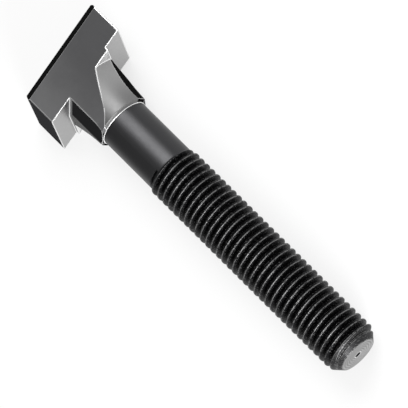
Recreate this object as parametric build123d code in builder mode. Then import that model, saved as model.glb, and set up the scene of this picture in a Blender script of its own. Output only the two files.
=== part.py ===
from build123d import *
import math
import os

# T-slot bolt, forged in one piece, with a rolled 3/4-10 UNC thread, 5 in under the head.
# Millimetres. X is the bolt's axis and points to the thread end, and X = 0 is the
# bearing plane under the head. The bolt lies on one long face of its head, so Z is up
# and that face looks down. Seen along the axis the head is a parallelogram: it drops
# lengthways into a T-slot from above, turns by end_angle, and locks on its slanted ends.

# thread
thread_diameter = 19.05
thread_pitch = 2.54
thread_length = 87.6
thread_angle = 60.0
crest_flat = thread_pitch / 8
step_length = 0.9

# length and plain shank, rolled from a blank of about the pitch diameter
under_head_length = 127.0
shank_diameter = thread_diameter - 0.6495 * thread_pitch

# head
head_width = 20.6
head_thickness = 13.2
end_spacing = 33.4
end_angle = 58.0
long_bevel_height = 2.0
long_bevel_width = 1.0
end_bevel_height = 0.8
end_bevel_width = 0.4
blunt_corner_radius = 0.8
sharp_corner_cut = 0.4

# neck under the head
neck_length = 16.4
ledge_height = 1.2
neck_corner_radius = 15.2
neck_hollow = 0.9
shoulder_radius = 10.1
shoulder_length = 0.6
cheek_angle = -5.0
cheek_reach = 13.95
cheek_end_reach = 9.9
relief_across = 18.2
relief_angle = 45.0

# thread end
point_length = 3.4
point_diameter = 13.4
centre_mark_diameter = 2.2
centre_mark_depth = 0.7

# derived sizes
crest_radius = thread_diameter / 2
flank_slope = math.tan(math.radians(thread_angle / 2))
root_radius = crest_radius - (thread_pitch - crest_flat) / 2 / flank_slope
thread_start = under_head_length - thread_length
head_plane = Plane.YZ
band = 4 * neck_corner_radius
end_run = (0, math.cos(math.radians(end_angle)), math.sin(math.radians(end_angle)))
end_plane = Plane(origin=(0, 0, 0), x_dir=(1, 0, 0), z_dir=end_run)
cheek_turn = math.radians(cheek_angle + 90)
cheek_run = (0, math.cos(cheek_turn), math.sin(cheek_turn))
cheek_plane = Plane(origin=(0, 0, 0), x_dir=(1, 0, 0), z_dir=cheek_run)

# Head: the parallelogram between the two long faces and the two slanted ends. Its blunt
# corners are rounded and its sharp corners are cut flat. Two sections, one across the long
# faces and one across the slanted ends, bevel the rim of its top face.
with BuildPart() as head:
    with BuildSketch(head_plane) as head_plan:
        Rectangle(4 * end_spacing, head_width)
        Rectangle(4 * end_spacing, end_spacing, rotation=end_angle, mode=Mode.INTERSECT)
        by_side = head_plan.vertices().sort_by(Axis.X)
        fillet(by_side[1:3], radius=blunt_corner_radius)
        by_side = head_plan.vertices().sort_by(Axis.X)
        chamfer([by_side[0], by_side[-1]], length=sharp_corner_cut)
    extrude(amount=-head_thickness)
    with BuildSketch(Plane.XZ) as long_face_section:
        with BuildLine():
            half = head_width / 2
            Polyline(
                (0, half),
                (-head_thickness + long_bevel_height, half),
                (-head_thickness, half - long_bevel_width),
                (-head_thickness, -half + long_bevel_width),
                (-head_thickness + long_bevel_height, -half),
                (0, -half),
                close=True,
            )
        make_face()
    extrude(amount=4 * end_spacing, both=True, mode=Mode.INTERSECT)
    with BuildSketch(end_plane) as end_face_section:
        with BuildLine():
            reach = end_spacing / 2
            Polyline(
                (0, reach),
                (-head_thickness + end_bevel_height, reach),
                (-head_thickness, reach - end_bevel_width),
                (-head_thickness, -reach + end_bevel_width),
                (-head_thickness + end_bevel_height, -reach),
                (0, -reach),
                close=True,
            )
        make_face()
    extrude(amount=4 * end_spacing, both=True, mode=Mode.INTERSECT)

# Neck: a rhombus of the head's width both ways, so that it guides the bolt in the slot
# before and after the turn. Its blunt corners are relieved to let it turn. Its sharp
# corners sweep in to the shank below a thin ledge, and it ends in a short bevelled shoulder. A
# narrow cheek trims each swept corner along its far side.
with BuildPart() as neck:
    with BuildSketch(head_plane) as neck_section:
        Rectangle(band, head_width)
        Rectangle(band, head_width, rotation=end_angle, mode=Mode.INTERSECT)
        Rectangle(band, relief_across, rotation=relief_angle, mode=Mode.INTERSECT)
    extrude(amount=neck_length)
    with BuildSketch(Plane.XZ) as sweep_in:
        with BuildLine():
            ledge = (ledge_height, neck_corner_radius)
            shoulder = (neck_length - shoulder_length, shoulder_radius)
            shank_edge = (neck_length, shank_diameter / 2)
            mid_x = (ledge[0] + shoulder[0]) / 2
            mid_r = (ledge[1] + shoulder[1]) / 2 - neck_hollow
            ThreePointArc(ledge, (mid_x, mid_r), shoulder)
            Polyline(
                shoulder,
                shank_edge,
                (neck_length, 0),
                (0, 0),
                (0, band),
                (ledge_height, band),
                ledge,
            )
        make_face()
    revolve(axis=Axis.X, mode=Mode.INTERSECT)
    with BuildSketch(cheek_plane) as cheek_section:
        with BuildLine():
            cheek_mid = (cheek_reach + cheek_end_reach) / 2 - neck_hollow
            Line((0, 0), (0, band))
            Line((0, band), (ledge_height, band))
            Line((ledge_height, band), (ledge_height, cheek_reach))
            ThreePointArc(
                (ledge_height, cheek_reach),
                (mid_x, cheek_mid),
                (shoulder[0], cheek_end_reach),
            )
            Line((shoulder[0], cheek_end_reach), (neck_length, cheek_end_reach))
            Line((neck_length, cheek_end_reach), (neck_length, 0))
            Line((neck_length, 0), (0, 0))
        make_face()
        mirror(about=Plane.XZ)
    extrude(amount=band, both=True, mode=Mode.INTERSECT)

# Blank: a turned shank that steps up to the rolled thread, with a bevelled point and the
# lathe centre's mark in the end face.
with BuildPart() as blank:
    with BuildSketch(Plane.XZ) as shank_section:
        with BuildLine():
            shank_radius = shank_diameter / 2
            point_start = under_head_length - point_length
            Line((0, 0), (0, shank_radius))
            Line((0, shank_radius), (thread_start, shank_radius))
            Line((thread_start, shank_radius), (thread_start + step_length, crest_radius))
            Line((thread_start + step_length, crest_radius), (point_start, crest_radius))
            Line((point_start, crest_radius), (under_head_length, point_diameter / 2))
            Line((under_head_length, point_diameter / 2), (under_head_length, 0))
            Line((under_head_length, 0), (0, 0))
        make_face()
    revolve(axis=Axis.X)
    with Locations(Plane(origin=(under_head_length, 0, 0), z_dir=(1, 0, 0))):
        CounterSinkHole(
            radius=centre_mark_diameter / 8,
            counter_sink_radius=centre_mark_diameter / 2,
            depth=centre_mark_depth,
        )

# Thread: one 60 degree V, with its root drawn sharp, cut along a helix that starts just
# before the thread, so that the first turn runs out into the plain shank. The kernel can
# lose a long helical cut without a word, so each cut is weighed against the V's own
# volume. One run over the whole thread is tried first, because it makes the fewest
# facets, and then runs of six turns end to end, from other starts, until it is right.
root_depth = crest_radius - root_radius
v_moment = root_depth**2 * (root_radius / 2 + root_depth / 3)
v_per_turn = 4 * math.pi * flank_slope * v_moment
turns_cut = (thread_length - step_length - point_length / 2) / thread_pitch
v_volume = v_per_turn * turns_cut
whole_run = thread_length + 1.5 * thread_pitch
short_run = 6 * thread_pitch
trials = [(whole_run, 0.2, 1.2)]
trials += [(short_run, lead, 1.07) for lead in (0.2, 0.05, 0.75, 0.35, 0.5)]
best_error = 1.0e9
for run_length, lead, height_share in trials:
    helix_start = thread_start - lead * thread_pitch
    runs = math.ceil((thread_length + 1.25 * thread_pitch) / run_length)
    with BuildPart() as groove:
        with BuildLine() as helix:
            for run in range(runs):
                Helix(
                    thread_pitch,
                    run_length,
                    root_radius,
                    center=(helix_start + run * run_length, 0, 0),
                    direction=(1, 0, 0),
                )
        groove_plane = Plane(origin=helix.line @ 0, x_dir=(1, 0, 0), z_dir=(0, -1, 0))
        with BuildSketch(groove_plane) as groove_profile:
            with BuildLine():
                groove_height = height_share * root_depth
                groove_mouth = groove_height * flank_slope
                Polyline(
                    (0, 0),
                    (groove_mouth, groove_height),
                    (-groove_mouth, groove_height),
                    close=True,
                )
            make_face()
        sweep(path=helix.wire(), is_frenet=True)
    with BuildPart() as trial:
        add(blank.part)
        try:
            add(groove.part, mode=Mode.SUBTRACT)
        except ValueError:
            continue
    cut_error = abs((blank.part.volume - trial.part.volume) / v_volume - 1)
    if cut_error < best_error:
        best_error = cut_error
        threaded_shank = trial
    if best_error < 0.01:
        break

# Bolt: the threaded shank with its head and neck.
with BuildPart() as t_slot_bolt:
    add(threaded_shank.part)
    add(head.part)
    add(neck.part)

os.makedirs("parts", exist_ok=True)
t_slot_bolt.part.label = "t_slot_bolt"
export_step(t_slot_bolt.part, "parts/t_slot_bolt.step")
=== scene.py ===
import math

import bpy
from mathutils import Matrix, Vector


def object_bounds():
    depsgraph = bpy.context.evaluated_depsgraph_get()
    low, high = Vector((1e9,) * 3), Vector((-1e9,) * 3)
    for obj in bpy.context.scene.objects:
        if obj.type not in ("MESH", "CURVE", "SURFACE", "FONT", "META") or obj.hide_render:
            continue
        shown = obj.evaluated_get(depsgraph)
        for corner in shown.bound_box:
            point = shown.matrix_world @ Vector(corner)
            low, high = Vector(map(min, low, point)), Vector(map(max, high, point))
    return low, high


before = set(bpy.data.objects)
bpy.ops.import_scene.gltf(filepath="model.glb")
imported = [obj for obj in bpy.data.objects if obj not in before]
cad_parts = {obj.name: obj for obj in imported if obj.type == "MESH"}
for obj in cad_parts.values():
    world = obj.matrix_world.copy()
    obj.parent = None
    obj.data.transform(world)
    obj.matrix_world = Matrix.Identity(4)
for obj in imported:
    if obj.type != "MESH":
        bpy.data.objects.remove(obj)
cad_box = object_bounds()

# ---- Bolt ----------------------------------------------------------------------
# The T-slot bolt, one forging of medium carbon steel with a rolled 3/4-10 thread, black
# oxidised all over and lightly oiled. The oxide is thin, so sharp edges and the faces that bear
# on a slot show paler steel, with a painted highlight added, and the faces left as forged are
# nearly black, dull scale darkened further by painted shade.


class Shade:
    """One socket of a node tree. Arithmetic on it adds Math nodes."""

    def __init__(self, tree, socket=None):
        self.tree = tree
        self.socket = socket

    def node(self, kind, settings=None, inputs=None, output=0):
        """Add a node: its settings first, then the values or links of its sockets."""
        made = self.tree.nodes.new(kind)
        for name, value in (settings or {}).items():
            setattr(made, name, value)
        for name, value in (inputs or {}).items():
            if isinstance(value, Shade):
                self.tree.links.new(value.socket, made.inputs[name])
            else:
                made.inputs[name].default_value = value
        if isinstance(output, tuple):
            return [Shade(self.tree, made.outputs[name]) for name in output]
        return Shade(self.tree, made.outputs[output] if made.outputs else None)

    def maths(self, operation, first, second=0.0):
        return self.node("ShaderNodeMath", {"operation": operation}, {0: first, 1: second})

    def __add__(self, other):
        return self.maths("ADD", self, other)

    def __radd__(self, other):
        return self.maths("ADD", other, self)

    def __sub__(self, other):
        return self.maths("SUBTRACT", self, other)

    def __rsub__(self, other):
        return self.maths("SUBTRACT", other, self)

    def __mul__(self, other):
        return self.maths("MULTIPLY", self, other)

    def __rmul__(self, other):
        return self.maths("MULTIPLY", other, self)

    def __pow__(self, other):
        return self.maths("POWER", self, other)

    def __abs__(self):
        return self.maths("ABSOLUTE", self)

    def most(self, other):
        return self.maths("MAXIMUM", self, other)

    def rise(self, low, high):
        """0 below low, 1 above high, and smooth between."""
        span = {"Value": self, "From Min": low, "From Max": high}
        return self.node("ShaderNodeMapRange", {"interpolation_type": "SMOOTHSTEP"}, span)

    def fall(self, low, high):
        """1 below low, 0 above high, and smooth between."""
        return 1 - self.rise(low, high)

    def vector(self, operation, other=(0.0, 0.0, 0.0), output="Vector"):
        return self.node("ShaderNodeVectorMath", {"operation": operation}, {0: self, 1: other}, output)

    def along(self, direction):
        """How far this vector points along a direction."""
        return self.vector("DOT_PRODUCT", direction, "Value")

    def noise(self, scale, detail, roughness=0.5):
        """Noise from 0 to 1 over this vector, with scale patches to the metre."""
        inputs = {"Vector": self, "Scale": scale, "Detail": detail, "Roughness": roughness}
        return self.node("ShaderNodeTexNoise", inputs=inputs, output="Fac")

    def tint(self, first, second):
        """The first colour where this mask is 0 and the second where it is 1."""
        colours = {"Factor": self, "A": first, "B": second}
        return self.node("ShaderNodeMix", {"data_type": "RGBA"}, colours, "Result")


def across_axis(degrees):
    """The direction square to the axis at this angle up from the y axis."""
    angle = math.radians(degrees)
    return (0.0, math.cos(angle), math.sin(angle))


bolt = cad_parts["t_slot_bolt"]

black_oxide = bpy.data.materials.new("black_oxide_steel")
black_oxide.use_nodes = True
black_oxide.node_tree.nodes.clear()
steel = Shade(black_oxide.node_tree)

# Places on the bolt in metres. x runs along the axis, from the bearing plane under the head
# to the thread end, z is square to the long faces, and reach is the distance from the axis.
place = steel.node("ShaderNodeTexCoord", output="Object")
x, y, z = steel.node("ShaderNodeSeparateXYZ", inputs={"Vector": place}, output=("X", "Y", "Z"))
reach = (y * y + z * z) ** 0.5
head_top = cad_box[0][0]
long_face = cad_box[1][2]
end_reach = 0.0167
ledge_height = 0.0012
neck_end = 0.0164
shank_radius = 0.0087
crest_radius = 0.009525
thread_length = 0.0876
point_length = 0.0034
mark_radius = 0.0011
thread_end = cad_box[1][0]
thread_start = thread_end - thread_length
point_start = thread_end - point_length
on_neck = x.rise(ledge_height - 0.0001, ledge_height + 0.0001) * x.fall(neck_end, neck_end + 0.0002)
on_shank = x.rise(neck_end - 0.0001, neck_end + 0.0001)
on_thread = x.rise(thread_start, thread_start + 0.0008)
from_shoulder = x.rise(neck_end - 0.0014, neck_end - 0.0010)
to_shank = x.fall(neck_end + 0.0008, neck_end + 0.0012)

# The way each surface faces: along the axis to the thread end, and round the axis. The
# slanted ends, the reliefs and the cheeks each face one way and its opposite.
facing = steel.node("ShaderNodeTexCoord", output="Normal")
to_end = facing.along((1.0, 0.0, 0.0))
around = facing.vector("MULTIPLY", (0.0, 1.0, 1.0)).vector("NORMALIZE")
sideways = abs(to_end).fall(0.7, 0.8)
end_way = across_axis(-32.0)
relief_way = across_axis(-45.0)
cheek_way = across_axis(-5.0)

# Faces by where they lie and which way they face. The bearing faces, the ledges and the thread
# end are rubbed pale and given a painted light, the swept corners of the neck a weaker painted
# light. The slanted ends, the reliefs, the cheeks and the rim bevels of the top face are left as
# forged with a dull scale, darkened by painted shade.
bearing = to_end.rise(0.93, 0.98)
ledge = bearing * x.rise(ledge_height - 0.0006, ledge_height - 0.0002) * x.fall(0.002, 0.003)
end_face = bearing * x.rise(0.1, 0.11)
cheek = on_neck * abs(around.along(cheek_way)).rise(0.965, 0.985)
relief_side = abs(around.along(relief_way)).rise(0.90, 0.96)
relief = on_neck * relief_side * (to_end.rise(0.7, 0.85) + abs(to_end).fall(0.01, 0.02))
# relief_low, the lower strip of a relief, is given a painted light.
relief_low = relief * abs(z).fall(0.0034, 0.0038) * to_end.fall(0.5, 0.7)
slanted_end = x.fall(0.0, 0.0002) * sideways * abs(around.along(end_way)).rise(0.95, 0.98)
off_top = x.rise(head_top + 0.0006, head_top + 0.0011)
off_long_face = abs(z).fall(long_face - 0.0009, long_face - 0.0005)
slanted_rim = slanted_end * (1 - off_top * off_long_face)
rim = to_end.fall(-0.42, -0.3) * to_end.rise(-0.7, -0.55)
on_point = x.rise(point_start, point_start + 0.0004)
chamfer = on_thread * on_point * to_end.rise(0.5, 0.6) * (1 - bearing)
# centre_mark gets painted shade inside the hole and mark_lip a painted highlight round it.
centre_mark = x.rise(thread_end - 0.002, thread_end - 0.001) * reach.fall(mark_radius, mark_radius + 0.0001)
mark_lip = x.rise(thread_end - 0.0001, thread_end - 0.00005)
mark_lip = mark_lip * reach.fall(mark_radius + 0.0002, mark_radius + 0.00035)
# shoulder_line is a painted highlight round the shoulder.
shoulder = on_neck * to_end.rise(0.7, 0.85) * from_shoulder
shoulder_line = shoulder * reach.fall(shank_radius + 0.00015, shank_radius + 0.0003)
# groove is the thread root, which gets painted shade.
groove = on_thread * reach.fall(crest_radius - 0.000325, crest_radius - 0.000045)
groove = groove * (1 - chamfer) * (1 - bearing)

# The finish of the long faces runs on to a point at the shoulder, over the low edge of the
# swept corners. Its outline is a curve in x, and half_turn repeats it on the face below.
taper_start = 0.012
taper_half_width = 0.0031
taper_slope = 0.8
taper_curve = 111.0
past = x - taper_start
half_turn = z.rise(-0.0001, 0.0001) * 2 - 1
off_line = y * half_turn - taper_half_width + past * (taper_slope + taper_curve * past)
near_tip = on_neck * x.rise(taper_start - 0.0002, taper_start + 0.0001)
near_tip = near_tip * abs(z).rise(0.006, 0.007) * (1 - relief)
tongue_tip = near_tip * off_line.fall(-0.0001, 0.0001)
# tip_line is a painted highlight along this outline, where no edge lies.
tip_line = near_tip * abs(off_line).fall(0.0001, 0.00026)
swept = on_neck * to_end.rise(0.03, 0.09) * (1 - cheek) * (1 - tongue_tip)

# Sharp edges: there the normal of a rounded edge leaves that of the flat face. The shoulder
# and the first turn of the thread keep their oxide. end_line is a painted highlight along
# the edge between a long face and a slanted end.
round_normal = steel.node("ShaderNodeBevel", {"samples": 8}, {"Radius": 0.0006})
flat_normal = steel.node("ShaderNodeNewGeometry", output="Normal")
turned = round_normal.along(flat_normal)
turned = (1 - turned).rise(0.004, 0.022)
by_shoulder = from_shoulder * to_shank * abs(to_end).rise(0.05, 0.08)
run_out = x.rise(thread_start - 0.005, thread_start - 0.0045)
run_out = run_out * x.fall(thread_start + 0.0005, thread_start + 0.002)
edge = turned * (1 - by_shoulder) * (1 - on_shank * to_shank) * (1 - run_out)
by_end = abs(place.along(end_way)).rise(end_reach - 0.0004, end_reach - 0.00025)
on_long_face = sideways * abs(around.along((0.0, 0.0, 1.0))).rise(0.95, 0.98)
end_line = by_end * on_long_face * (1 - on_neck)

# A fine mottle in the oxide, a coarser one from handling, broad clouds over the head, the
# lines of the drawn bar, bright flecks on the thread and the turning marks of its end face.
mottle = place.noise(900.0, 4.0, 0.6)
handling = place.noise(110.0, 3.0)
clouds = place.noise(60.0, 4.0)
bar_lines = place.vector("MULTIPLY", (0.04, 1.0, 1.0)).noise(2600.0, 2.0)
flecks = place.noise(2400.0, 2.0).rise(0.58, 0.70)
mark_spacing = 0.000967
turning = reach.maths("SINE", reach * (2 * math.pi / mark_spacing))
tool_marks = (0.5 + 0.35 * turning + 1.6 * (handling - 0.5)).rise(0.0, 1.0)

# The crests are worn in broken lines, with a painted highlight, on the side that faces the thread end.
crest_wear_and_highlight_line = mottle.rise(0.36, 0.52) * round_normal.along((1.0, 0.0, 0.0)).rise(0.0, 0.3)
patchy = 1 - on_thread * (1 - crest_wear_and_highlight_line)
worn_and_highlit_edge = edge * patchy * (0.85 + 0.15 * handling.rise(0.35, 0.6)) * (1 - groove) * (1 - rim)
worn_and_highlit_edge = worn_and_highlit_edge.most(end_line * (1 - rim) * x.rise(head_top + 0.0006, head_top + 0.0012))

# Oxide painted lighter towards -y and darker towards +y across the head: painted light and shade.
oxide_painted_light = (0.34, 0.34, 0.345, 1.0)
oxide_painted_shade = (0.19, 0.19, 0.195, 1.0)
shank_oxide = (0.055, 0.055, 0.057, 1.0)
thread_oxide = (0.030, 0.030, 0.031, 1.0)
point_oxide = (0.035, 0.035, 0.036, 1.0)
# Paler steel on the faces towards the thread end: rubbing with painted light over it.
rubbed_steel_painted_light = (0.42, 0.42, 0.42, 1.0)
faced_steel_painted_light = (0.22, 0.22, 0.22, 1.0)
# The swept corners: a painted light, dimmed towards the shoulder.
swept_painted_light = (0.33, 0.33, 0.33, 1.0)
swept_painted_light_low = (0.20, 0.20, 0.20, 1.0)
# The ledges: a painted highlight.
ledge_painted_highlight = (0.80, 0.80, 0.80, 1.0)
# Scale on the forged faces, darkened by painted shade; the lower strip of a relief has painted light.
scale_painted_shade = (0.018, 0.018, 0.019, 1.0)
relief_low_painted_light = (0.15, 0.15, 0.15, 1.0)
end_scale_painted_shade = (0.040, 0.040, 0.042, 1.0)
scale_painted_dark_shade = (0.006, 0.006, 0.006, 1.0)
# Painted shade in the thread roots and inside the centre mark.
recess_painted_shade = (0.012, 0.012, 0.013, 1.0)
# Crest lines: wear with a painted highlight.
crest_wear_and_highlight_steel = (0.24, 0.24, 0.24, 1.0)
flecked_steel = (0.16, 0.16, 0.16, 1.0)
# Edge lines: wear with a painted highlight; the shoulder, mark lip and tip lines are painted highlights
# only.
edge_wear_and_highlight_steel = (0.92, 0.92, 0.92, 1.0)

# The head is painted darker towards +y, a painted shade, and each finish here lies over the ones before it.
finishes = (
    (on_shank, shank_oxide),
    (on_thread, thread_oxide),
    (chamfer, point_oxide),
    (swept, x.rise(0.005, 0.0155).tint(swept_painted_light, swept_painted_light_low)),
    (bearing, rubbed_steel_painted_light),
    (end_face, tool_marks.tint(faced_steel_painted_light, rubbed_steel_painted_light)),
    (ledge, ledge_painted_highlight),
    (relief, scale_painted_shade),
    (relief_low, relief_low_painted_light),
    (slanted_end, end_scale_painted_shade),
    (cheek + rim + slanted_rim, scale_painted_dark_shade),
    (groove, recess_painted_shade),
    (on_thread * flecks * (1 - end_face), flecked_steel),
    (worn_and_highlit_edge, on_thread.tint(edge_wear_and_highlight_steel, crest_wear_and_highlight_steel)),
    (shoulder_line + mark_lip + tip_line, edge_wear_and_highlight_steel),
    (centre_mark, recess_painted_shade),
)
colour = (y + 0.030 * (clouds - 0.5)).rise(-0.024, 0.014).tint(oxide_painted_light, oxide_painted_shade)
for where, finish in finishes:
    colour = where.tint(colour, finish)

# Scale is dull and has no metal's gloss, and the swept corners and the thread are rougher
# than the flat faces.
scaled = (relief + slanted_end + cheek + rim) * (1 - worn_and_highlit_edge)
roughness = 0.32 + 0.10 * mottle + 0.08 * (handling - 0.5) + 0.25 * scaled
roughness = roughness + 0.16 * swept + 0.05 * on_shank + 0.09 * on_thread
grain = mottle + 0.5 * on_shank * (1 - on_thread) * bar_lines
skin = {"Height": grain, "Strength": 0.25, "Distance": 0.00004, "Normal": round_normal}
surface = {
    "Base Color": colour,
    "Metallic": 1 - scaled,
    "Roughness": roughness,
    "Specular IOR Level": 0.0,
    "Normal": steel.node("ShaderNodeBump", inputs=skin),
}
shaded = steel.node("ShaderNodeBsdfPrincipled", inputs=surface)
steel.node("ShaderNodeOutputMaterial", inputs={"Surface": shaded})

bolt.data.materials.clear()
bolt.data.materials.append(black_oxide)

# ---- Bench ---------------------------------------------------------------------
# A plain matt white table top, far wider than the bolt, at the height of the long face
# that the bolt lies on. It is seen and mirrored as white, and keeps the bolt's shadow.
bench_height = cad_box[0][2]
half_side = 3.0
bench_mesh = bpy.data.meshes.new("bench_top")
corners = ((-1, -1), (1, -1), (1, 1), (-1, 1))
corners = [(along * half_side, across * half_side, bench_height) for along, across in corners]
bench_mesh.from_pydata(corners, [], [(0, 1, 2, 3)])
bench = bpy.data.objects.new("bench_top", bench_mesh)
bpy.context.collection.objects.link(bench)

bench_white = bpy.data.materials.new("bench_white")
bench_white.use_nodes = True
bench_white.node_tree.nodes.clear()
paint = Shade(bench_white.node_tree)
rays = ("Is Camera Ray", "Is Glossy Ray", "Is Transmission Ray")
seen, mirrored, passed = paint.node("ShaderNodeLightPath", output=rays)
matt_paint = {"Base Color": (0.85, 0.85, 0.85, 1.0), "Roughness": 0.9}
matt = paint.node("ShaderNodeBsdfPrincipled", inputs=matt_paint)
white = paint.node("ShaderNodeEmission", inputs={"Color": (1.0, 1.0, 1.0, 1.0), "Strength": 1.0})
white_share = 0.72 * seen.most(mirrored.most(passed))
top = paint.node("ShaderNodeMixShader", inputs={0: white_share, 1: matt, 2: white})
paint.node("ShaderNodeOutputMaterial", inputs={"Surface": top})
bench_mesh.materials.append(bench_white)

# ---- Studio light --------------------------------------------------------------
# An even pale room, a low soft lamp beyond the thread end that catches the flanks and
# edges, and a wider, higher one beyond the head that draws the light along the shank.
room = bpy.data.worlds.new("pale_room")
bpy.context.scene.world = room
room.use_nodes = True
room.node_tree.nodes.clear()
air = Shade(room.node_tree)
glow = air.node("ShaderNodeBackground", inputs={"Color": (1.0, 1.0, 1.0, 1.0), "Strength": 0.4})
air.node("ShaderNodeOutputWorld", inputs={"Surface": glow})
lit_point = Vector((0.03, 0.0, 0.0))


def soft_lamp(name, toward, distance, size, watts):
    """A round lamp at a distance from the lit point, which it faces."""
    data = bpy.data.lights.new(name, "AREA")
    data.shape = "DISK"
    data.size = size
    data.energy = watts
    lamp = bpy.data.objects.new(name, data)
    direction = Vector(toward).normalized()
    lamp.location = lit_point + direction * distance
    lamp.rotation_euler = direction.to_track_quat("Z", "Y").to_euler()
    bpy.context.collection.objects.link(lamp)


soft_lamp("low_lamp", toward=(0.93, -0.12, 0.34), distance=0.7, size=0.35, watts=5.0)
soft_lamp("high_lamp", toward=(-0.343, 0.609, 0.715), distance=0.7, size=0.55, watts=4.8)

# ---- Camera --------------------------------------------------------------------
# A long lens about 1.5 m away, above and beyond the thread end. It looks down at the bolt,
# turned so that the head is at the upper left and the thread runs to the lower right.
camera_place = (0.56338, 0.55624, 1.27405)
look = Vector((-0.34336, -0.37607, -0.86062)).normalized()
right = Vector((0.66689, 0.54761, -0.50536))
right = (right - look * right.dot(look)).normalized()
camera_data = bpy.data.cameras.new("bench_camera")
camera_data.sensor_width = 36.0
camera_data.lens = 410.0
camera_data.clip_end = 10.0
camera = bpy.data.objects.new("bench_camera", camera_data)
bpy.context.collection.objects.link(camera)
turn = Matrix((right, right.cross(look), -look)).transposed().to_4x4()
camera.matrix_world = Matrix.Translation(camera_place) @ turn
bpy.context.scene.camera = camera
bpy.context.scene.view_settings.view_transform = "Standard"
